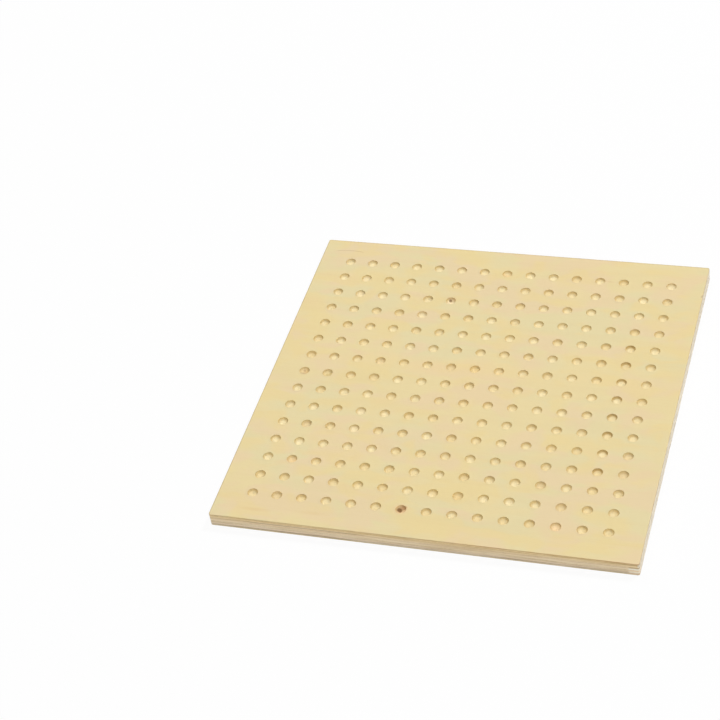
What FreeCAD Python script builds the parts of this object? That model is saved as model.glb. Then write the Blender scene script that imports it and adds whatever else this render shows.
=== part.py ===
"""A square root board: a flat square of birch plywood with a square grid of round dimples in its top
face, one dimple for each counting bead.

The plywood is built up as the real sheet is. Veneers lie one on another with their grain crossed: a
thin sanded face veneer at the top and at the bottom, and an odd number of thicker core plies between
them. The odd core plies, counted from the top, run across the board and show end grain on its front
edge. The even ones run along it, as the faces do. The dimples were cut after the sheet was glued up,
so one ball-shaped cutter goes through every ply that it reaches.

The board is as large as the grid of dimples and the plain margin round it need.

Frame: millimetres, origin at the centre of the underside, +X right along the front edge, +Y to the
back edge, +Z up.
"""

import FreeCAD, Part
import math
import os

import Sketcher

PARTS_FOLDER = "parts"
DOCUMENT_NAME = "SquareRootBoard"
SHEET_NAME = "Dimensions"

# Driving dimensions: alias, value in millimetres or a count, and what it is
DRIVING_DIMENSIONS = (
    ("dimple_columns", 15, "dimples along X"),
    ("dimple_rows", 15, "dimples along Y"),
    ("column_pitch", 20.0, "centre to centre along X"),
    ("row_pitch", 20.0, "centre to centre along Y"),
    ("side_margin", 27.5, "outer column's centres to the left or right edge"),
    ("end_margin", 27.5, "outer row's centres to the front or back edge"),
    ("dimple_diameter", 8.5, "width of a dimple's mouth in the top face"),
    ("dimple_depth", 2.75, "depth of a dimple's lowest point"),
    ("corner_radius", 1.5, "rounding of the four upright corners"),
    ("arris_radius", 0.35, "sanded rounding of the long edges, top and bottom"),
    ("face_thickness", 0.75, "each sanded face veneer"),
    ("core_thickness", 1.5, "each core ply"),
    ("core_count", 7, "core plies between the two faces, an odd number"),
)


def cell(alias):
    """The name by which an expression reads one cell of the sheet."""
    return f"{SHEET_NAME}.{alias}"


# What follows from the driving dimensions, as expressions
GRID_WIDTH = f"({cell('dimple_columns')} - 1) * {cell('column_pitch')}"
GRID_DEPTH = f"({cell('dimple_rows')} - 1) * {cell('row_pitch')}"
BOARD_WIDTH = f"{GRID_WIDTH} + 2 * {cell('side_margin')}"
BOARD_DEPTH = f"{GRID_DEPTH} + 2 * {cell('end_margin')}"


def make_sheet(doc):
    """The spreadsheet that every sketch, pad, pattern and placement reads."""
    sheet = doc.addObject("Spreadsheet::Sheet", SHEET_NAME)
    for row, (alias, value, meaning) in enumerate(DRIVING_DIMENSIONS, start=1):
        sheet.set(f"A{row}", alias)
        sheet.set(f"B{row}", str(value))
        sheet.set(f"C{row}", meaning)
        sheet.setAlias(f"B{row}", alias)
    doc.recompute()
    return sheet


def origin_feature(body, role):
    """One of the body's own origin planes or axes."""
    return next(f for f in body.Origin.OriginFeatures if f.Role == role)


def bind_last(sketch, name, expression):
    """Names the sketch's newest constraint and binds it to the sheet."""
    index = sketch.ConstraintCount - 1
    sketch.renameConstraint(index, name)
    sketch.setExpression(f"Constraints.{name}", expression)


def add_outline(body, sheet):
    """The board's outline: a rectangle about the origin with four equal rounded corners."""
    sketch = body.newObject("Sketcher::SketchObject", "Outline")
    sketch.AttachmentSupport = (origin_feature(body, "XY_Plane"), [""])
    sketch.MapMode = "FlatFace"

    half_x = sheet.evalExpression(BOARD_WIDTH) / 2
    half_y = sheet.evalExpression(BOARD_DEPTH) / 2
    radius = sheet.corner_radius
    up = FreeCAD.Vector(0, 0, 1)
    quarter_turn = math.pi / 2
    # Straight edges in order front, right, back, left, and the corner arc that follows each
    straights = (
        ((radius - half_x, -half_y), (half_x - radius, -half_y)),
        ((half_x, radius - half_y), (half_x, half_y - radius)),
        ((half_x - radius, half_y), (radius - half_x, half_y)),
        ((-half_x, half_y - radius), (-half_x, radius - half_y)),
    )
    arc_centres = (
        (half_x - radius, radius - half_y),
        (half_x - radius, half_y - radius),
        (radius - half_x, half_y - radius),
        (radius - half_x, radius - half_y),
    )
    lines = []
    arcs = []
    for side, (start, end) in enumerate(straights):
        segment = Part.LineSegment(FreeCAD.Vector(*start, 0), FreeCAD.Vector(*end, 0))
        lines.append(sketch.addGeometry(segment, False))
        circle = Part.Circle(FreeCAD.Vector(*arc_centres[side], 0), up, radius)
        corner = Part.ArcOfCircle(circle, (side - 1) * quarter_turn, side * quarter_turn)
        arcs.append(sketch.addGeometry(corner, False))

    for side in range(4):
        following = (side + 1) % 4
        sketch.addConstraint(Sketcher.Constraint("Tangent", lines[side], 2, arcs[side], 1))
        sketch.addConstraint(Sketcher.Constraint("Tangent", arcs[side], 2, lines[following], 1))
        direction = "Horizontal" if side % 2 == 0 else "Vertical"
        sketch.addConstraint(Sketcher.Constraint(direction, lines[side]))
    for corner in arcs[1:]:
        sketch.addConstraint(Sketcher.Constraint("Equal", arcs[0], corner))
    # Front left and back right corner centres mirror each other about the origin
    sketch.addConstraint(Sketcher.Constraint("Symmetric", arcs[3], 3, arcs[1], 3, -1, 1))

    sketch.addConstraint(Sketcher.Constraint("Radius", arcs[0], radius))
    bind_last(sketch, "corner_radius", cell("corner_radius"))
    sketch.addConstraint(
        Sketcher.Constraint("DistanceX", arcs[3], 3, arcs[1], 3, 2 * (half_x - radius))
    )
    bind_last(sketch, "between_centres_x", f"{BOARD_WIDTH} - 2 * {cell('corner_radius')}")
    sketch.addConstraint(
        Sketcher.Constraint("DistanceY", arcs[3], 3, arcs[1], 3, 2 * (half_y - radius))
    )
    bind_last(sketch, "between_centres_y", f"{BOARD_DEPTH} - 2 * {cell('corner_radius')}")
    return sketch


def add_pad(body, outline, thickness):
    """The veneer itself, as thick as the expression says."""
    pad = body.newObject("PartDesign::Pad", "Veneer")
    pad.Profile = outline
    pad.setExpression("Length", thickness)
    return pad


def level_edges(shape, height):
    """Names of the edges that lie flat at one height."""
    tolerance = 1e-6
    names = []
    for number, edge in enumerate(shape.Edges, start=1):
        box = edge.BoundBox
        if abs(box.ZMin - height) < tolerance and abs(box.ZMax - height) < tolerance:
            names.append(f"Edge{number}")
    return names


def add_arris(body, pad, height):
    """The sanded rounding round one face's outer edge."""
    arris = body.newObject("PartDesign::Fillet", "Arris")
    arris.Base = (pad, level_edges(pad.Shape, height))
    arris.setExpression("Radius", cell("arris_radius"))
    return arris


def add_dimple_profile(body, sheet, mouth_height):
    """Half of a dimple's section, on the axis of the front left dimple.

    The sketch's own origin is where that axis meets the board's top face. mouth_height is an
    expression: how far that face lies above this ply's underside.
    """
    sketch = body.newObject("Sketcher::SketchObject", "DimpleProfile")
    sketch.AttachmentSupport = (origin_feature(body, "XZ_Plane"), [""])
    sketch.MapMode = "FlatFace"
    sketch.setExpression("AttachmentOffset.Base.x", f"-{GRID_WIDTH} / 2")
    sketch.setExpression("AttachmentOffset.Base.y", mouth_height)
    # The XZ plane's normal is -Y, so a positive offset goes to the front
    sketch.setExpression("AttachmentOffset.Base.z", f"{GRID_DEPTH} / 2")

    half_width = sheet.dimple_diameter / 2
    depth = sheet.dimple_depth
    origin = FreeCAD.Vector(0, 0, 0)
    rim = FreeCAD.Vector(half_width, 0, 0)
    lowest = FreeCAD.Vector(0, -depth, 0)
    ball_radius = (half_width**2 + depth**2) / (2 * depth)
    circle = Part.Circle(FreeCAD.Vector(0, ball_radius - depth, 0), FreeCAD.Vector(0, 0, 1), ball_radius)
    bowl = Part.ArcOfCircle(circle, circle.parameter(lowest), circle.parameter(rim))
    arc = sketch.addGeometry(bowl, False)
    mouth = sketch.addGeometry(Part.LineSegment(rim, origin), False)
    axis = sketch.addGeometry(Part.LineSegment(origin, lowest), False)

    # Geometry -1 is the sketch's horizontal axis and -2 its vertical axis
    sketch.addConstraint(Sketcher.Constraint("Coincident", arc, 2, mouth, 1))
    sketch.addConstraint(Sketcher.Constraint("Coincident", mouth, 2, axis, 1))
    sketch.addConstraint(Sketcher.Constraint("Coincident", axis, 2, arc, 1))
    sketch.addConstraint(Sketcher.Constraint("Coincident", mouth, 2, -1, 1))
    sketch.addConstraint(Sketcher.Constraint("PointOnObject", arc, 3, -2))
    sketch.addConstraint(Sketcher.Constraint("PointOnObject", axis, 2, -2))
    sketch.addConstraint(Sketcher.Constraint("Horizontal", mouth))
    sketch.addConstraint(Sketcher.Constraint("DistanceX", mouth, 2, mouth, 1, half_width))
    bind_last(sketch, "half_width", f"{cell('dimple_diameter')} / 2")
    sketch.addConstraint(Sketcher.Constraint("DistanceY", axis, 2, axis, 1, depth))
    bind_last(sketch, "depth", cell("dimple_depth"))
    return sketch


def add_dimples(body, outline, profile):
    """The first dimple turned from its section, and the grid of them."""
    dimple = body.newObject("PartDesign::Groove", "Dimple")
    dimple.Profile = profile
    dimple.ReferenceAxis = (profile, ["V_Axis"])
    dimple.Angle = 360

    grid = body.newObject("PartDesign::MultiTransform", "DimpleGrid")
    grid.Originals = [dimple]
    transformations = []
    for name, axis, count, pitch in (
        ("Columns", "H_Axis", "dimple_columns", "column_pitch"),
        ("Rows", "V_Axis", "dimple_rows", "row_pitch"),
    ):
        pattern = body.newObject("PartDesign::LinearPattern", name)
        pattern.Direction = (outline, [axis])
        pattern.Mode = "Spacing"
        pattern.setExpression("Occurrences", cell(count))
        pattern.setExpression("Offset", cell(pitch))
        transformations.append(pattern)
    grid.Transformations = transformations
    body.Tip = grid
    return grid


def make_ply(doc, sheet, label, thickness, base_height, mouth_height=None, arris_height=None):
    """One veneer as a body of its own, at its place in the stack.

    thickness and base_height are expressions. So is mouth_height, which a ply that the dimples reach
    has: the height of their mouths above this ply's underside. arris_height, where the ply is a face,
    is the height in its own frame of the face whose outer edge is sanded round.
    """
    body = doc.addObject("PartDesign::Body", label)
    body.Label = label
    body.setExpression("Placement.Base.z", base_height)
    outline = add_outline(body, sheet)
    pad = add_pad(body, outline, thickness)
    doc.recompute()
    if arris_height is not None:
        add_arris(body, pad, arris_height)
        doc.recompute()
    if mouth_height is not None:
        solid_volume = body.Shape.Volume
        profile = add_dimple_profile(body, sheet, mouth_height)
        add_dimples(body, outline, profile)
        doc.recompute()
        if not body.Shape.Volume < solid_volume:
            raise RuntimeError(f"the dimples cut nothing from {label}")
    return body


def make_plywood(doc, sheet):
    """The whole stack, from the top face veneer down to the bottom one."""
    core_count = int(sheet.core_count)
    face = cell("face_thickness")
    core = cell("core_thickness")
    plies = [
        make_ply(
            doc,
            sheet,
            "top_face_veneer",
            thickness=face,
            base_height=f"{face} + {core_count} * {core}",
            mouth_height=face,
            arris_height=sheet.face_thickness,
        )
    ]
    for above in range(core_count):
        grain = "cross" if above % 2 == 0 else "long"
        depth_of_top = sheet.face_thickness + above * sheet.core_thickness
        reached = depth_of_top < sheet.dimple_depth
        plies.append(
            make_ply(
                doc,
                sheet,
                f"{grain}_ply_{above // 2 + 1}",
                thickness=core,
                base_height=f"{face} + {core_count - 1 - above} * {core}",
                mouth_height=f"{face} + {above + 1} * {core}" if reached else None,
            )
        )
    plies.append(
        make_ply(
            doc,
            sheet,
            "bottom_face_veneer",
            thickness=face,
            base_height="0",
            arris_height=0.0,
        )
    )
    return plies


def check(doc, plies):
    """Stops unless every object recomputed and every veneer is one valid solid."""
    for item in doc.Objects:
        if "Invalid" in item.State or "Error" in item.State:
            raise RuntimeError(f"{item.Label} did not recompute: {item.State}")
    for ply in plies:
        if ply.Shape.isNull() or not ply.Shape.isValid() or len(ply.Shape.Solids) != 1:
            raise RuntimeError(f"{ply.Label} is not one valid solid")


def main():
    doc = FreeCAD.newDocument(DOCUMENT_NAME)
    sheet = make_sheet(doc)
    plies = make_plywood(doc, sheet)
    doc.recompute()
    check(doc, plies)
    os.makedirs(PARTS_FOLDER, exist_ok=True)
    for ply in plies:
        ply.Shape.exportStep(os.path.join(PARTS_FOLDER, f"{ply.Label}.step"))
        print(f"{ply.Label}: {ply.Shape.Volume:.1f} mm3, {len(ply.Shape.Faces)} faces")


main()
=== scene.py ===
"""The looks of a square root board: birch plywood with a grid of dimples, on a white studio floor.

The plies keep their modelled shape. Every surface gets its wood here: clear lacquered face veneers
with faint grain, soft patches of colour, a few knots and streaks, and the sawn core plies that show
on the edges and inside the dimples, each darker where it is cut across its grain.

Frame: metres, origin at the centre of the underside, +X right along the front edge, +Y to the back,
+Z up. Materials work in millimetres of that frame. Colours are written as they show on screen, 0 to
255. A seed only moves a noise to another place, so that no two veneers look alike.
"""

import math

import bpy
from mathutils import Matrix, Vector


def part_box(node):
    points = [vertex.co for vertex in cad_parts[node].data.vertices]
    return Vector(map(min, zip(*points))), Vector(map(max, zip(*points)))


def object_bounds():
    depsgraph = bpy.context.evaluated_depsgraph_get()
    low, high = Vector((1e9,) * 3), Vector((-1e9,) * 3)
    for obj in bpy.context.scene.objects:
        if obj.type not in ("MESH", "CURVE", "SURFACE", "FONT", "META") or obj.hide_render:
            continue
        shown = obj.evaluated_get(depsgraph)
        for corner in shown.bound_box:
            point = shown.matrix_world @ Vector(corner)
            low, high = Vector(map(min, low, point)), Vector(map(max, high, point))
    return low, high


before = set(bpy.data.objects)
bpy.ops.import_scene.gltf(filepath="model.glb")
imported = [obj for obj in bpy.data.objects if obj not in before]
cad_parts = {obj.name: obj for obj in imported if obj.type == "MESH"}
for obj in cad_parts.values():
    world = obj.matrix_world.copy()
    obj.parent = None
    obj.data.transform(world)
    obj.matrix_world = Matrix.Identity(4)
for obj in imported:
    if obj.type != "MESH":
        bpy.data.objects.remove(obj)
cad_low, cad_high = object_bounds()

MM = 0.001


def thickness(node):
    """How thick a ply is, in millimetres."""
    low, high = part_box(node)
    return (high.z - low.z) / MM


# The board, in millimetres
PITCH = 20.0
GRID_COUNT = 15
GRID_REACH = GRID_COUNT * PITCH / 2
MOUTH_RADIUS = 4.25
HALF = cad_high.x / MM
TOP = cad_high.z / MM
FACE_THICKNESS = thickness("bottom_face_veneer")
CORE_THICKNESS = thickness("long_ply_3")
# How far from the middle a surface starts to count as one of the four sides, and fully does
SIDE_START = HALF - 1.6
SIDE_FULL = HALF - 1.1

# The camera, fitted to the photograph's dimples and corners: millimetres in the board's frame
CAMERA_PLACE = (388.8, -1144.6, 1136.2)
CAMERA_TARGET = (-102.5, 30.8, 0.0)
CAMERA_ROLL = math.radians(-10.28)
CAMERA_LENS = 102.44

# Lamps: name, azimuth from the back towards the right, elevation (degrees), share of the light on
# the top face, side of the square lamp (metres)
LAMPS = (
    ("key", 38.0, 55.0, 0.43, 0.6),
    ("back_left_fill", -45.0, 50.0, 0.24, 4.0),
    ("front_fill", 180.0, 42.0, 0.19, 4.0),
    ("front_right_fill", 130.0, 40.0, 0.13, 4.0),
)
LAMP_DISTANCE = 6.0
WORLD_SHARE = 0.02

# The floor, in metres, and how much of what the camera sees of it is plain white
FLOOR_SIDE = 30.0
FLOOR_DROP = 0.0002
FLOOR_COLOUR = (0.95, 0.95, 0.95, 1.0)
FLOOR_ROUGHNESS = 0.9
FLOOR_WHITE = 0.94

# Face veneers: their wood, rings, fibres and pores
FACE_COLOUR = (235, 216, 162)
FACE_RING = (226, 201, 148)
FACE_FIBRE = (226, 202, 144)
FACE_PORE = (202, 168, 112)
# Patches: colour, size across the grain in millimetres, where the noise starts and ends, strength
FACE_PATCHES = (
    ((229, 216, 168), 40.0, 0.42, 0.60, 0.70),
    ((236, 210, 168), 26.0, 0.46, 0.62, 0.65),
    ((237, 214, 151), 19.0, 0.48, 0.64, 0.60),
)
PATCH_LENGTHENING = 1.7
# What multiplies them: across the grain, on the sawn edges of the top and bottom one, and as
# painted shade on the rim
CROSS_CUT = (230, 216, 196)
TOP_EDGE_TONE = (222, 193, 171)
BOTTOM_EDGE_TONE = (250, 246, 244)
RIM_SHADE = (206, 200, 190)

# Core veneers: colour of each one on the sides, from the top down, yellower above, greyer below
CORE_TONES = {
    "cross_ply_1": (242, 215, 163),
    "long_ply_1": (249, 225, 179),
    "cross_ply_2": (249, 225, 186),
    "long_ply_2": (255, 235, 200),
    "cross_ply_3": (255, 236, 201),
    "long_ply_3": (253, 232, 202),
    "cross_ply_4": (240, 223, 195),
}
# Painted light: the right side is made this paler colour
PAINTED_RIGHT_LIGHT = (255, 247, 228)
# What dark streaks and end grain multiply them by, and the colours of cracks and glue
DARKER = (226, 217, 197)
CRACK = (140, 104, 70)
GLUE = (150, 116, 80)
# Darker lines along the front edge: height, from, to (millimetres), half width, strength
FRONT_LINES = (
    (10.5, 135.0, 200.0, 0.6, 0.30),
    (8.5, -150.0, -40.0, 0.6, 0.40),
    (6.9, 95.0, 172.0, 0.35, 0.25),
    (1.7, -130.0, -45.0, 0.6, 0.30),
    (1.6, 45.0, 100.0, 0.6, 0.30),
)
LINE_FADE = 25.0
# Right end of the front edge: colour and shine. Two veneers are freshly split, pale and glossy
RIGHT_ENDS = {
    "cross_ply_2": ((214, 186, 144), 0.0),
    "long_ply_2": ((255, 248, 224), 1.0),
    "cross_ply_3": ((250, 222, 184), 0.0),
    "long_ply_3": ((255, 242, 212), 1.0),
    "cross_ply_4": ((238, 210, 178), 0.0),
}

# The lighter wood that the cutter lays open in the dimples, and what multiplies it where it varies
DIMPLE_WOOD = (241, 226, 182)
VARIED = (248, 242, 230)
# The steep upper wall of a dimple: the painted shade that multiplies its wood, the height where it
# starts to show on the core plies and how far above that it is full, and the same two as depths on
# the face veneer
WALL_SHADE = (244, 236, 218)
WALL_FOOT = 9.9
WALL_FADE = 0.9
FACE_WALL_START = 0.03
FACE_WALL_FULL = 0.15
# The column, with its first and last row, whose back walls get a deeper painted shade, and what
# multiplies them
DEEPER_SHADE_COLUMN = (13, 4, 11)
DEEPER_SHADE = (230, 221, 204)
# Core wood of other colours in single dimples: the colour, then the column and row of each dimple
OTHER_CORE_WOOD = (
    ((216, 188, 136), ((3, 6), (6, 6), (1, 10), (14, 10), (14, 11), (11, 12), (12, 13), (1, 14))),
    ((246, 232, 194), ((14, 0), (1, 1), (1, 2), (3, 2), (4, 3), (3, 9), (3, 10))),
)

# Size of the figure along the grain and across it, in millimetres
RING_SIZE = (190.0, 9.0)
FIBRE_SIZE = (28.0, 0.55)
PORE_SIZE = (3.2, 0.22)
STREAK_SIZE = (34.0, 0.7)
# Stretch of the other patterns along X, Y and Z, per millimetre. At 0 a pattern stays the same there
STIPPLE_STRETCH = (2.6, 2.6, 2.6)
TUFT_STRETCH = (0.35, 0.35, 0.9)
CRACK_STRETCH = (0.2, 0.2, 0.0)
DRIFT_STRETCH = (0.026, 0.026, 0.7)
SAW_STRETCH = (0.03, 0.03, 0.0)
GLUE_STRETCH = (0.02, 0.02, 0.6)
VARIED_STRETCH = (0.045, 0.045, 0.0)
SPOT_SCALE = 0.45
# How strongly each pattern shows: the amount rises from the third number to the fourth while its
# noise rises from the first to the second
RING_AMOUNT = (0.46, 0.66, 0.0, 0.10)
FIBRE_AMOUNT = (0.42, 0.68, 0.0, 0.13)
PORE_AMOUNT = (0.63, 0.74, 0.0, 1.0)
STREAK_AMOUNT = (0.48, 0.70, 0.0, 0.7)
STIPPLE_AMOUNT = (0.42, 0.64, 0.0, 0.28)
TUFT_AMOUNT = (0.42, 0.66, 0.0, 0.26)
CRACK_AMOUNT = (0.40, 0.60, 0.0, 1.0)
DRIFT_AMOUNT = (0.44, 0.62, 0.0, 0.5)
SAW_AMOUNT = (0.40, 0.60, 0.65, 1.25)
GLUE_AMOUNT = (0.40, 0.60, 0.05, 0.8)
VARIED_AMOUNT = (0.38, 0.62, 0.0, 1.0)
# Strength of the colours of pores, cracks, edges cut across the grain and the painted light on the
# right side
PORE_STRENGTH = 0.22
CRACK_STRENGTH = 0.35
CROSS_CUT_STRENGTH = 0.45
PAINTED_RIGHT_LIGHT_STRENGTH = 0.8
# Share of the core plies' figure that is seen in the dimples, and that is lost on the right side
DIMPLE_SHARE = 0.35
RIGHT_SIDE_LOSS = 0.5
# Cracks in the ends of the fibres: how far apart they are in millimetres, how wide they are and how
# far a noise shifts them, both as shares of that, and how far they lean for each millimetre of height
CRACK_SPACING = 2.3
CRACK_WIDTH = 0.07
CRACK_UNEVENNESS = 6.0
CRACK_LEAN = 0.8
# Glue lines: how far from a ply's middle they start and are full, as shares of its thickness
GLUE_START = 0.41
GLUE_FULL = 0.49

# Places near the board's outline, in millimetres, where something starts and where it is full: the
# painted shade of the rim, the saw's marks and the darker lines on the front edge, and the split at
# its right end, which starts from the left and from the back
RIM_SHADE_START = HALF - 1.3
RIM_SHADE_FULL = HALF - 0.3
RIM_SHADE_STRENGTH = 0.6
SAW_START = 4.0 - HALF
SAW_FULL = 1.0 - HALF
LINE_START = 1.1 - HALF
LINE_FULL = 0.6 - HALF
SPLIT_LEFT = HALF - 7.0
SPLIT_RIGHT = HALF - 5.0
SPLIT_BACK = 9.0 - HALF
SPLIT_FRONT = 3.0 - HALF
SPLIT_RAGGEDNESS = 4.0
# The saw's marks along the front edge: from and to in X, and the least and the most of them
SAW_RISE = (-120.0, 150.0)
SAW_LEAST = 0.35
SAW_MOST = 0.9

# Relief in millimetres: the lip that the cutter leaves round each dimple is highest LIP_TOP outside
# the mouth and ends LIP_END outside it
PORE_DEPTH = 0.02
FIBRE_HEIGHT = 0.017
CRACK_DEPTH = 0.09
CORE_FIBRE_HEIGHT = 0.04
LIP_HEIGHT = 0.13
LIP_TOP = 0.2
LIP_END = 2.0

# Gloss of the lacquered faces, of the fibres in them, of the sawn core and of its split, glossy end
SPECULAR_LEVEL = 0.35
FACE_ROUGHNESS = 0.42
FIBRE_ROUGHNESS = 0.16
CORE_ROUGHNESS = 0.62
COAT_ROUGHNESS = 0.3
COAT_IOR = 1.8


def linear(colour):
    """A colour written as it shows on screen, 0 to 255, as the linear colour that nodes take."""
    def channel(value):
        value /= 255.0
        return value / 12.92 if value <= 0.04045 else ((value + 0.055) / 1.055) ** 2.4
    return (*map(channel, colour), 1.0)


def dimple_centre(column, row):
    """Where a dimple is, in millimetres. Column 0 is at the left, row 0 at the back."""
    middle = (GRID_COUNT - 1) / 2
    return (column - middle) * PITCH, (middle - row) * PITCH


def along_grain(grain_axis, size):
    """Stretch factors that draw a pattern out along the grain. size is along it and across it."""
    length, width = size
    stretch = [1.0 / width, 1.0 / width, 1.0 / width]
    stretch[grain_axis] = 1.0 / length
    return stretch


class Tree:
    """Short ways to build the node tree of a material or a world."""

    # A Mix node's sockets for colours
    MIX_FACTOR = 0
    MIX_FIRST = 6
    MIX_SECOND = 7
    MIX_RESULT = 2

    def __init__(self, owner):
        owner.use_nodes = True
        self.nodes = owner.node_tree.nodes
        self.links = owner.node_tree.links

    def put(self, socket, value):
        """Links an output to a socket, or sets the socket to a constant."""
        if isinstance(value, bpy.types.NodeSocket):
            self.links.new(value, socket)
        else:
            socket.default_value = value

    def math(self, operation, *values, clamp=False):
        node = self.nodes.new("ShaderNodeMath")
        node.operation = operation
        node.use_clamp = clamp
        for socket, value in zip(node.inputs, values):
            self.put(socket, value)
        return node.outputs[0]

    def step(self, value, start, end, low=0.0, high=1.0):
        """A smooth step from low at start to high at end."""
        node = self.nodes.new("ShaderNodeMapRange")
        node.interpolation_type = "SMOOTHSTEP"
        for name, number in (
            ("Value", value),
            ("From Min", start),
            ("From Max", end),
            ("To Min", low),
            ("To Max", high),
        ):
            self.put(node.inputs[name], number)
        return node.outputs[0]

    def tinted(self, colour, tint, amount, blend="MIX"):
        """A colour moved towards a tint by an amount, 0 to 1."""
        node = self.nodes.new("ShaderNodeMix")
        node.data_type = "RGBA"
        node.blend_type = blend
        self.put(node.inputs[self.MIX_FACTOR], amount)
        self.put(node.inputs[self.MIX_FIRST], colour)
        self.put(node.inputs[self.MIX_SECOND], linear(tint))
        return node.outputs[self.MIX_RESULT]

    def shaded(self, colour, tint, amount):
        """A colour multiplied by a tint, to a strength of 0 to 1."""
        return self.tinted(colour, tint, amount, "MULTIPLY")

    def noise(self, vector, detail=2.0, roughness=0.5, distortion=0.0, scale=1.0):
        node = self.nodes.new("ShaderNodeTexNoise")
        self.put(node.inputs["Vector"], vector)
        for name, number in (
            ("Scale", scale),
            ("Detail", detail),
            ("Roughness", roughness),
            ("Distortion", distortion),
        ):
            node.inputs[name].default_value = number
        return node.outputs[0]

    def place(self, stretch=(1.0, 1.0, 1.0), shift=(0.0, 0.0, 0.0)):
        """The point in millimetres of the board's frame, stretched and then shifted."""
        coordinates = self.nodes.new("ShaderNodeTexCoord")
        mapping = self.nodes.new("ShaderNodeMapping")
        self.links.new(coordinates.outputs["Object"], mapping.inputs["Vector"])
        mapping.inputs["Scale"].default_value = [factor / MM for factor in stretch]
        mapping.inputs["Location"].default_value = shift
        return mapping.outputs[0]

    def parts(self, vector):
        node = self.nodes.new("ShaderNodeSeparateXYZ")
        self.links.new(vector, node.inputs[0])
        return node.outputs

    def length(self, across, along):
        """Length of the line whose two parts are given."""
        squares = [self.math("MULTIPLY", part, part) for part in (across, along)]
        return self.math("SQRT", self.math("ADD", *squares))

    def facing(self, axis):
        """How squarely the surface faces along one axis of the board, 0 to 1."""
        coordinates = self.nodes.new("ShaderNodeTexCoord")
        side = self.parts(coordinates.outputs["Normal"])[axis]
        return self.math("MULTIPLY", side, side)

    def seen_by_camera(self):
        """1 for what the camera sees, straight or in a mirror or glass, and 0 for all other light."""
        path = self.nodes.new("ShaderNodeLightPath")
        seen = path.outputs["Is Camera Ray"]
        for name in ("Is Glossy Ray", "Is Transmission Ray"):
            seen = self.math("MAXIMUM", seen, path.outputs[name])
        return seen


class Wood(Tree):
    """The node tree of one veneer's material, with where on the board the surface is."""

    def __init__(self, name, seed):
        self.material = bpy.data.materials.new(name)
        super().__init__(self.material)
        self.shader = self.nodes["Principled BSDF"]
        self.seed = seed
        self.x, self.y, self.z = self.parts(self.place())
        distances = (self.math("ABSOLUTE", self.x), self.math("ABSOLUTE", self.y))
        self.farthest = self.math("MAXIMUM", *distances)
        # on_side is 1 on the four sides of the board, off_side on its faces and inside the dimples
        self.on_side = self.step(self.farthest, SIDE_START, SIDE_FULL)
        self.off_side = self.math("SUBTRACT", 1.0, self.on_side)

    def set_shader(self, colour, roughness, height):
        """Joins colour, roughness and relief (millimetres of height) to the shader."""
        self.put(self.shader.inputs["Base Color"], colour)
        self.put(self.shader.inputs["Roughness"], roughness)
        self.shader.inputs["Specular IOR Level"].default_value = SPECULAR_LEVEL
        bump = self.nodes.new("ShaderNodeBump")
        bump.inputs["Strength"].default_value = 1.0
        bump.inputs["Distance"].default_value = MM
        self.put(bump.inputs["Height"], height)
        self.put(self.shader.inputs["Normal"], bump.outputs[0])


def cell_part(wood, place):
    """How far a place has come through its cell of the grid, 0 to 1. A dimple is at one half."""
    # The middle dimple is at 0, and 100 whole cells keep the sum positive
    return wood.math("FRACT", wood.math("MULTIPLY_ADD", place, 1.0 / PITCH, 100.5))


def from_nearest_dimple(wood):
    """Distance from the middle of the nearest cell of the grid, in millimetres."""
    offsets = [
        wood.math("MULTIPLY_ADD", cell_part(wood, place), PITCH, -PITCH / 2) for place in (wood.x, wood.y)
    ]
    return wood.length(*offsets)


def deeper_shade_column(wood):
    """1 on the back half of each dimple in one part of a column, where the painted shade is deeper."""
    column, first_row, last_row = DEEPER_SHADE_COLUMN
    middle, back = dimple_centre(column, first_row)
    front = dimple_centre(column, last_row)[1]
    # The area ends between its dimples and the next ones
    across = wood.math("ABSOLUTE", wood.math("SUBTRACT", wood.x, middle))
    area = wood.step(across, 0.35 * PITCH, 0.25 * PITCH)
    for row, beyond in ((back, PITCH), (front, -PITCH)):
        end = wood.step(wood.y, row + 0.5 * beyond, row + 0.35 * beyond)
        area = wood.math("MULTIPLY", area, end)
    back_half = wood.step(cell_part(wood, wood.y), 0.47, 0.57)
    return wood.math("MULTIPLY", area, back_half)


def shade_dimple_walls(wood, colour, steep):
    """Painted shade: the steep upper wall of a dimple is made browner than the bottom, more so in one
    column.
    """
    steep = wood.math("MULTIPLY", steep, wood.off_side)
    colour = wood.shaded(colour, WALL_SHADE, steep)
    return wood.shaded(colour, DEEPER_SHADE, wood.math("MULTIPLY", deeper_shade_column(wood), steep))


def face_figure(wood):
    """Colour of the face veneer's wood, grain along X, with its fibres and its pores."""
    seed = wood.seed
    colour = linear(FACE_COLOUR)
    for number, (tint, size, low, high, strength) in enumerate(FACE_PATCHES):
        stretch = along_grain(0, (PATCH_LENGTHENING * size, size))
        cloud = wood.noise(wood.place(stretch, (seed + 17.0 * number, 3.0 * number, seed)), distortion=0.4)
        colour = wood.tinted(colour, tint, wood.math("MULTIPLY", wood.step(cloud, low, high), strength))

    # Annual rings cut at a slant: long, wandering bands, then the fine fibres and pores between them
    rings = wood.noise(wood.place(along_grain(0, RING_SIZE), (seed, seed, 0.0)), 2.0, 0.55, 0.8)
    colour = wood.tinted(colour, FACE_RING, wood.step(rings, *RING_AMOUNT))
    fibres = wood.noise(wood.place(along_grain(0, FIBRE_SIZE), (0.0, seed, seed)), 3.0, 0.65)
    colour = wood.tinted(colour, FACE_FIBRE, wood.step(fibres, *FIBRE_AMOUNT))
    pores = wood.noise(wood.place(along_grain(0, PORE_SIZE), (seed, 0.0, 0.0)), 2.0, 0.6)
    pores = wood.step(pores, *PORE_AMOUNT)
    colour = wood.tinted(colour, FACE_PORE, wood.math("MULTIPLY", pores, PORE_STRENGTH))
    return colour, fibres, pores


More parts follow.
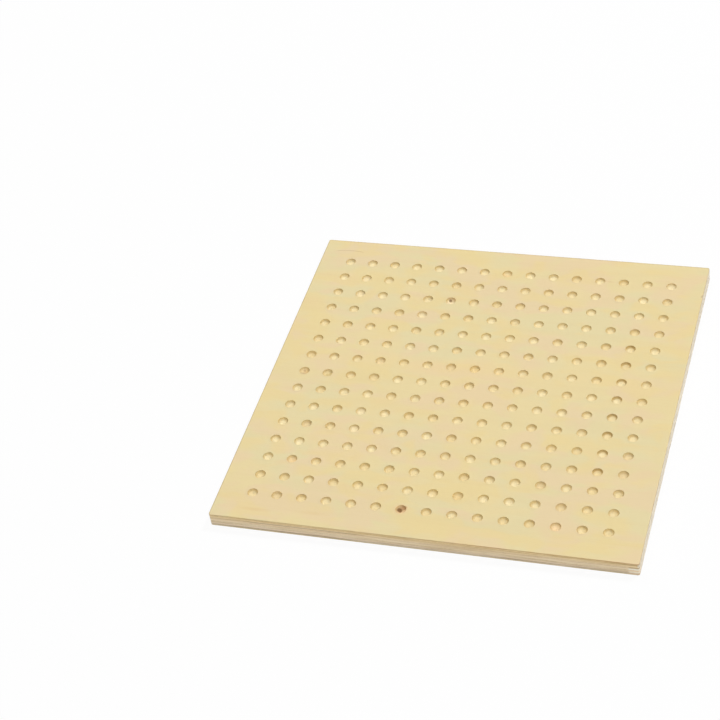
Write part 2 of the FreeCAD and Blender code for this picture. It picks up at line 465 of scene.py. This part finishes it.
def sawn_edges(wood, colour, tone):
    """The saw leaves the edges a shade darker, most of all the front edge towards the right."""
    ends = wood.math("MULTIPLY", wood.math("MULTIPLY", wood.facing(0), CROSS_CUT_STRENGTH), wood.on_side)
    colour = wood.shaded(colour, CROSS_CUT, ends)
    front = wood.step(wood.y, SAW_START, SAW_FULL)
    sawn = wood.math("MULTIPLY", wood.step(wood.x, *SAW_RISE, SAW_LEAST, SAW_MOST), front)
    upright = wood.math("SUBTRACT", 1.0, wood.facing(2))
    sawn = wood.math("MULTIPLY", upright, wood.math("MAXIMUM", sawn, SAW_LEAST))
    uneven = wood.noise(wood.place(SAW_STRETCH, (wood.seed, 7.0, 0.0)))
    sawn = wood.math("MULTIPLY", sawn, wood.step(uneven, *SAW_AMOUNT))
    return wood.shaded(colour, tone, wood.math("MULTIPLY", sawn, wood.on_side, clamp=True))


def face_birch(name, seed, tone, marks=(), lips=False):
    """Lacquered face veneer: pale, with soft patches and hardly any figure."""
    wood = Wood(name, seed)
    colour, fibres, pores = face_figure(wood)
    for mark in marks:
        colour = mark(wood, colour)
    colour = sawn_edges(wood, colour, tone)
    relief = wood.math("MULTIPLY_ADD", pores, -PORE_DEPTH, wood.math("MULTIPLY", fibres, FIBRE_HEIGHT))
    if lips:
        # Painted shade on the upper walls of the dimples
        colour = shade_dimple_walls(wood, colour, wood.step(wood.z, TOP - FACE_WALL_START, TOP - FACE_WALL_FULL))
        outer, inner = MOUTH_RADIUS + LIP_END, MOUTH_RADIUS + LIP_TOP
        lip = wood.step(from_nearest_dimple(wood), outer, inner, 0.0, LIP_HEIGHT)
        # The margin outside the grid has no dimples
        lip = wood.math("MULTIPLY", lip, wood.step(wood.farthest, GRID_REACH + 1.0, GRID_REACH - 1.0))
        relief = wood.math("ADD", relief, lip)
    # Painted shade: the left and back rims of the face are greyer
    outward = wood.math("MAXIMUM", wood.math("MULTIPLY", wood.x, -1.0), wood.y)
    colour = wood.shaded(colour, RIM_SHADE, wood.step(outward, RIM_SHADE_START, RIM_SHADE_FULL, 0.0, RIM_SHADE_STRENGTH))
    roughness = wood.math("MULTIPLY_ADD", fibres, FIBRE_ROUGHNESS, FACE_ROUGHNESS)
    wood.set_shader(colour, roughness, relief)
    return wood.material


def core_figure(wood, grain_axis, tone):
    """Colour of a core veneer's wood, with its relief and the streaks that follow its grain."""
    seed = wood.seed
    cross_cut = wood.facing(grain_axis)
    # The cut inside the dimples is clean and pale, so the figure shows less there
    base = wood.tinted(linear(DIMPLE_WOOD), tone, wood.on_side)
    share = wood.math("MULTIPLY_ADD", wood.on_side, 1.0 - DIMPLE_SHARE, DIMPLE_SHARE)
    # Painted light: the right side is paler and shows less of the figure
    lit_right_side = wood.step(wood.x, SIDE_START, SIDE_FULL)
    base = wood.tinted(base, PAINTED_RIGHT_LIGHT, wood.math("MULTIPLY", lit_right_side, PAINTED_RIGHT_LIGHT_STRENGTH))
    share = wood.math("MULTIPLY", share, wood.math("MULTIPLY_ADD", lit_right_side, -RIGHT_SIDE_LOSS, 1.0))

    # Long faces: streaks that follow the grain
    streaks = wood.noise(wood.place(along_grain(grain_axis, STREAK_SIZE), (seed, 0.0, seed)), 3.0, 0.6)
    along = wood.step(streaks, *STREAK_AMOUNT)

    # Ends of the fibres: a fine dark stipple and cracks that lean across the ply
    stipple = wood.noise(wood.place(STIPPLE_STRETCH, (seed, seed, seed)), 2.0, 0.7)
    tufts = wood.noise(wood.place(TUFT_STRETCH, (seed, 0.0, 0.0)), 3.0, 0.6)
    across = wood.math("ADD", wood.step(stipple, *STIPPLE_AMOUNT), wood.step(tufts, *TUFT_AMOUNT))
    leaning = wood.math("MULTIPLY_ADD", wood.z, CRACK_LEAN, wood.x if grain_axis == 1 else wood.y)
    uneven = wood.noise(wood.place(CRACK_STRETCH, (seed, 5.0, 0.0)), 1.0)
    spaced = wood.math("DIVIDE", leaning, CRACK_SPACING)
    spaced = wood.math("MULTIPLY_ADD", uneven, CRACK_UNEVENNESS, spaced)
    cracks = wood.step(wood.math("FRACT", spaced), CRACK_WIDTH, 0.0)
    cracks = wood.math("MULTIPLY", cracks, wood.step(tufts, *CRACK_AMOUNT))
    cracks = wood.math("MULTIPLY", wood.math("MULTIPLY", cracks, cross_cut), wood.on_side)

    # Each veneer drifts between paler and darker along the board
    drift = wood.noise(wood.place(DRIFT_STRETCH, (seed, seed, 0.0)))
    amount = wood.math("MULTIPLY_ADD", cross_cut, wood.math("SUBTRACT", across, along), along)
    amount = wood.math("ADD", amount, wood.step(drift, *DRIFT_AMOUNT))
    colour = wood.shaded(base, DARKER, wood.math("MULTIPLY", amount, share))
    colour = wood.tinted(colour, CRACK, wood.math("MULTIPLY", cracks, CRACK_STRENGTH))

    fibres = wood.math("MULTIPLY_ADD", stipple, cross_cut, streaks)
    fibres = wood.math("MULTIPLY", fibres, CORE_FIBRE_HEIGHT)
    relief = wood.math("MULTIPLY_ADD", cracks, -CRACK_DEPTH, fibres)
    return colour, relief, streaks


def glue_lines(wood, colour):
    """Thin brown lines where this veneer meets the next ones, and the darker lines of the front edge."""
    within = wood.math("DIVIDE", wood.math("SUBTRACT", wood.z, FACE_THICKNESS), CORE_THICKNESS)
    within = wood.math("FRACT", within)
    glue = wood.step(wood.math("ABSOLUTE", wood.math("SUBTRACT", within, 0.5)), GLUE_START, GLUE_FULL)
    faint = wood.noise(wood.place(GLUE_STRETCH, (wood.seed, 2.0, 0.0)))
    glue = wood.math("MULTIPLY", glue, wood.step(faint, *GLUE_AMOUNT))
    colour = wood.tinted(colour, GLUE, wood.math("MULTIPLY", glue, wood.on_side))
    for level, start, end, width, strength in FRONT_LINES:
        near = wood.step(wood.math("ABSOLUTE", wood.math("SUBTRACT", wood.z, level)), width, width / 3)
        along = wood.step(wood.x, start, start + LINE_FADE)
        along = wood.math("MULTIPLY", along, wood.step(wood.x, end, end - LINE_FADE))
        along = wood.math("MULTIPLY", along, wood.step(wood.y, LINE_START, LINE_FULL, 0.0, strength))
        colour = wood.tinted(colour, GLUE, wood.math("MULTIPLY", near, along))
    return colour


def split_end(wood, colour, streaks, tint, shine):
    """The ragged split at the right end of the front edge."""
    ragged = wood.math("MULTIPLY_ADD", streaks, SPLIT_RAGGEDNESS, wood.x)
    split = wood.step(ragged, SPLIT_LEFT, SPLIT_RIGHT)
    split = wood.math("MULTIPLY", split, wood.step(wood.y, SPLIT_BACK, SPLIT_FRONT))
    wood.put(wood.shader.inputs["Coat Weight"], wood.math("MULTIPLY", split, shine))
    wood.shader.inputs["Coat Roughness"].default_value = COAT_ROUGHNESS
    wood.shader.inputs["Coat IOR"].default_value = COAT_IOR
    return wood.tinted(colour, tint, split)


def core_birch(name, seed, grain_axis, tone, right_end=None, marks=()):
    """Core veneer: streaks along the grain, stippled ends across it, saw and glue lines on the sides."""
    wood = Wood(name, seed)
    colour, relief, streaks = core_figure(wood, grain_axis, tone)
    # Painted shade on the upper walls of the dimples
    colour = shade_dimple_walls(wood, colour, wood.step(wood.z, WALL_FOOT, WALL_FOOT + WALL_FADE))
    # The wood laid open varies from one dimple to the next, through all the plies alike
    varied = wood.step(wood.noise(wood.place(VARIED_STRETCH, (31.0, 0.0, 0.0))), *VARIED_AMOUNT)
    colour = wood.shaded(colour, VARIED, wood.math("MULTIPLY", varied, wood.off_side))
    colour = glue_lines(wood, colour)
    if right_end:
        colour = split_end(wood, colour, streaks, *right_end)
    for mark in marks:
        colour = mark(wood, colour)
    wood.set_shader(colour, CORE_ROUGHNESS, relief)
    return wood.material


def spot(wood, centre, radii, ragged, seed, soft):
    """1 inside a ragged ellipse about a centre, falling to 0 at its edge."""
    distance = wood.length(
        wood.math("DIVIDE", wood.math("SUBTRACT", wood.x, centre[0]), radii[0]),
        wood.math("DIVIDE", wood.math("SUBTRACT", wood.y, centre[1]), radii[1]),
    )
    wobble = wood.noise(wood.place(shift=(seed, 0.0, 0.0)), detail=3.0, scale=SPOT_SCALE)
    distance = wood.math("ADD", distance, wood.math("MULTIPLY_ADD", wobble, 2 * ragged, -ragged))
    return wood.step(distance, 1.0 + soft, 1.0 - soft)


def stain(centre, radii, tint, strength, seed, ragged, soft):
    """One patch of another colour, drawn about a centre in millimetres of the board."""
    def draw(wood, colour):
        area = spot(wood, centre, radii, ragged, seed, soft)
        return wood.tinted(colour, tint, wood.math("MULTIPLY", area, strength))

    return draw


def in_dimple(column, row, offset, radii, tint, strength, seed, soft=0.4):
    """A stain placed from the middle of one dimple: knots and wood of another tone."""
    middle = dimple_centre(column, row)
    return stain((middle[0] + offset[0], middle[1] + offset[1]), radii, tint, strength, seed, 0.3, soft)


def bowed_line(start, end, bow, width, tint, strength):
    """A thin line along the grain that bends a little towards the back in its middle."""
    def draw(wood, colour):
        along = wood.math("DIVIDE", wood.math("SUBTRACT", wood.x, start[0]), end[0] - start[0])
        # The arch is 0 at both ends and a quarter in the middle, and the line fades out with it
        arch = wood.math("MULTIPLY", along, wood.math("SUBTRACT", 1.0, along))
        level = wood.math("MULTIPLY_ADD", along, end[1] - start[1], start[1])
        level = wood.math("MULTIPLY_ADD", arch, 4.0 * bow, level)
        near = wood.step(wood.math("ABSOLUTE", wood.math("SUBTRACT", wood.y, level)), width, 0.0)
        area = wood.math("MULTIPLY", near, wood.step(arch, 0.0, 0.12))
        return wood.tinted(colour, tint, wood.math("MULTIPLY", area, strength))

    return draw


# Marks in the dimples: column, row, place from the dimple's middle, radii, colour, strength, seed and,
# where it isn't the usual one, softness
DIMPLE_MARKS = (
    # The dark knot near the front, with pinkish wood round it
    in_dimple(6, 14, (0.0, -0.4), (5.6, 5.4), (240, 206, 160), 0.5, 3.0, 0.6),
    in_dimple(6, 14, (0.4, 0.4), (3.9, 3.6), (230, 194, 146), 0.6, 3.5),
    in_dimple(6, 14, (1.5, 2.3), (2.6, 1.6), (178, 134, 88), 0.65, 3.7),
    in_dimple(6, 14, (-1.3, 0.6), (1.95, 1.8), (116, 78, 22), 0.95, 4.0),
    # The small knot towards the back
    in_dimple(5, 2, (0.2, 3.0), (3.7, 1.8), (222, 192, 150), 0.6, 9.0, 0.5),
    in_dimple(5, 2, (0.0, -1.0), (3.2, 2.2), (246, 226, 188), 0.6, 9.5, 0.5),
    in_dimple(5, 2, (-1.0, 2.1), (1.3, 1.2), (130, 102, 62), 0.85, 10.0),
    # Two mottled dimples at the left
    in_dimple(0, 7, (0.0, 0.4), (4.4, 4.3), (236, 212, 158), 0.75, 14.0),
    in_dimple(0, 7, (0.4, -1.6), (3.0, 2.4), (200, 174, 130), 0.75, 14.5),
    in_dimple(0, 7, (2.2, 0.2), (1.6, 2.4), (212, 180, 118), 0.5, 14.8),
    in_dimple(0, 7, (-0.6, 1.7), (1.2, 1.1), (198, 162, 116), 0.6, 15.0),
    in_dimple(1, 7, (0.2, 0.0), (4.4, 4.3), (232, 210, 154), 0.55, 21.0),
    in_dimple(1, 7, (0.8, -0.9), (2.9, 2.6), (200, 178, 120), 0.65, 22.0),
    in_dimple(1, 7, (2.4, 0.8), (1.7, 2.6), (212, 188, 128), 0.35, 22.5),
    in_dimple(1, 7, (0.3, 1.6), (1.0, 0.9), (236, 216, 158), 0.5, 23.0),
    # Dimples with a mild golden cast, deepest at the bottom
    in_dimple(7, 0, (-0.4, -1.0), (3.4, 3.0), (230, 198, 140), 0.5, 61.0, 0.6),
    in_dimple(7, 6, (0.0, 0.2), (4.6, 4.2), (234, 204, 138), 0.5, 62.0),
    in_dimple(8, 6, (0.0, -0.4), (4.0, 3.6), (238, 210, 154), 0.35, 63.0, 0.6),
    in_dimple(8, 13, (0.2, -0.6), (3.4, 3.2), (226, 198, 138), 0.5, 64.0, 0.6),
    in_dimple(12, 14, (0.0, -0.6), (4.0, 3.6), (242, 200, 152), 0.45, 65.0, 0.6),
    in_dimple(1, 12, (0.0, -0.4), (4.0, 3.8), (242, 206, 158), 0.35, 66.0, 0.6),
    in_dimple(3, 7, (0.0, -0.2), (4.2, 4.0), (222, 196, 140), 0.5, 67.0, 0.6),
)
CORE_MARKS = DIMPLE_MARKS + tuple(
    in_dimple(column, row, (0.0, 0.4), (3.7, 3.4), tint, 0.5, 70.0 + column, 0.25)
    for tint, dimples in OTHER_CORE_WOOD
    for column, row in dimples
)
# Marks on the face: centre, radii, colour, strength, seed, raggedness and softness
FACE_MARKS = DIMPLE_MARKS + (
    stain((-20.0, -60.0), (30.0, 6.0), (236, 208, 172), 0.35, 31.0, 0.5, 0.8),
    stain((-133.0, -157.0), (10.0, 1.5), (228, 198, 140), 0.45, 41.0, 0.5, 0.8),
    stain((-86.0, -154.5), (9.0, 1.8), (230, 202, 146), 0.4, 47.0, 0.5, 0.8),
    stain((-20.0, 20.0), (110.0, 8.0), (240, 212, 152), 0.35, 53.0, 0.5, 0.8),
    stain((88.0, 140.0), (3.5, 0.8), (222, 192, 136), 0.5, 57.0, 0.5, 0.8),
    stain((167.3, 130.6), (1.1, 1.7), (192, 168, 134), 0.6, 67.0, 0.3, 0.4),
    bowed_line((-158.0, 153.0), (-131.0, 153.4), 1.6, 0.7, (204, 172, 122), 0.6),
)


def dress(name, material):
    """Gives one ply its material."""
    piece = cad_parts[name]
    piece.data.materials.clear()
    piece.data.materials.append(material)


def dress_plies():
    """Gives every veneer its own wood."""
    top = face_birch("face_birch_top", 4.0, TOP_EDGE_TONE, FACE_MARKS, lips=True)
    dress("top_face_veneer", top)
    dress("bottom_face_veneer", face_birch("face_birch_bottom", 71.0, BOTTOM_EDGE_TONE))
    for name, tone in CORE_TONES.items():
        kind, number = name.split("_ply_")
        grain_axis = 1 if kind == "cross" else 0
        seed = 10.0 * int(number) + 5.0 * grain_axis
        # The dimples reach the first ply of each kind
        marks = CORE_MARKS if number == "1" else ()
        core = core_birch(f"{kind}_birch_{number}", seed, grain_axis, tone, RIGHT_ENDS.get(name), marks)
        dress(name, core)


def make_floor():
    """A wide white floor that keeps a faint shadow of the board."""
    mesh = bpy.data.meshes.new("floor")
    half = FLOOR_SIDE / 2
    corners = [(-half, -half), (half, -half), (half, half), (-half, half)]
    mesh.from_pydata([(x, y, -FLOOR_DROP) for x, y in corners], [], [(0, 1, 2, 3)])
    floor = bpy.data.objects.new("floor", mesh)
    bpy.context.scene.collection.objects.link(floor)
    material = bpy.data.materials.new("floor")
    tree = Tree(material)
    shader = tree.nodes["Principled BSDF"]
    shader.inputs["Base Color"].default_value = FLOOR_COLOUR
    shader.inputs["Roughness"].default_value = FLOOR_ROUGHNESS
    shader.inputs["Specular IOR Level"].default_value = 0.0
    glow = tree.nodes.new("ShaderNodeEmission")
    glow.inputs["Strength"].default_value = 1.0
    blend = tree.nodes.new("ShaderNodeMixShader")
    tree.put(blend.inputs[0], tree.math("MULTIPLY", tree.seen_by_camera(), FLOOR_WHITE))
    tree.put(blend.inputs[1], shader.outputs[0])
    tree.put(blend.inputs[2], glow.outputs[0])
    tree.put(tree.nodes["Material Output"].inputs["Surface"], blend.outputs[0])
    mesh.materials.append(material)


def make_world():
    """A dim even light, which the camera sees as white."""
    world = bpy.data.worlds.new("studio")
    bpy.context.scene.world = world
    tree = Tree(world)
    strength = tree.math("MULTIPLY_ADD", tree.seen_by_camera(), 1.0 - WORLD_SHARE, WORLD_SHARE)
    background = tree.nodes["Background"]
    background.inputs["Color"].default_value = (1.0, 1.0, 1.0, 1.0)
    tree.put(background.inputs["Strength"], strength)


def make_lamps():
    """Square soft lamps, each strong enough for its share of the light on the top face."""
    for name, azimuth, elevation, share, side in LAMPS:
        turn, rise = math.radians(azimuth), math.radians(elevation)
        towards = Vector((math.sin(turn) * math.cos(rise), math.cos(turn) * math.cos(rise), math.sin(rise)))
        lamp = bpy.data.lights.new(name, "AREA")
        lamp.size = side
        # A white surface under it reaches a radiance of share
        lamp.energy = share * (math.pi * LAMP_DISTANCE) ** 2 / math.sin(rise)
        stand = bpy.data.objects.new(name, lamp)
        stand.location = towards * LAMP_DISTANCE
        stand.rotation_euler = (-towards).to_track_quat("-Z", "Y").to_euler()
        bpy.context.scene.collection.objects.link(stand)


def make_camera():
    """The photograph's viewpoint, with the camera's slight roll."""
    place = Vector(CAMERA_PLACE) * MM
    target = Vector(CAMERA_TARGET) * MM
    level = (target - place).to_track_quat("-Z", "Y").to_matrix().to_4x4()
    lens = bpy.data.cameras.new("camera")
    lens.lens = CAMERA_LENS
    lens.clip_start = 0.01
    lens.clip_end = 100.0
    camera = bpy.data.objects.new("camera", lens)
    camera.matrix_world = Matrix.Translation(place) @ level @ Matrix.Rotation(CAMERA_ROLL, 4, "Z")
    bpy.context.scene.collection.objects.link(camera)
    bpy.context.scene.camera = camera


make_camera()
make_world()
make_lamps()
make_floor()
dress_plies()
bpy.context.scene.view_settings.view_transform = "Standard"
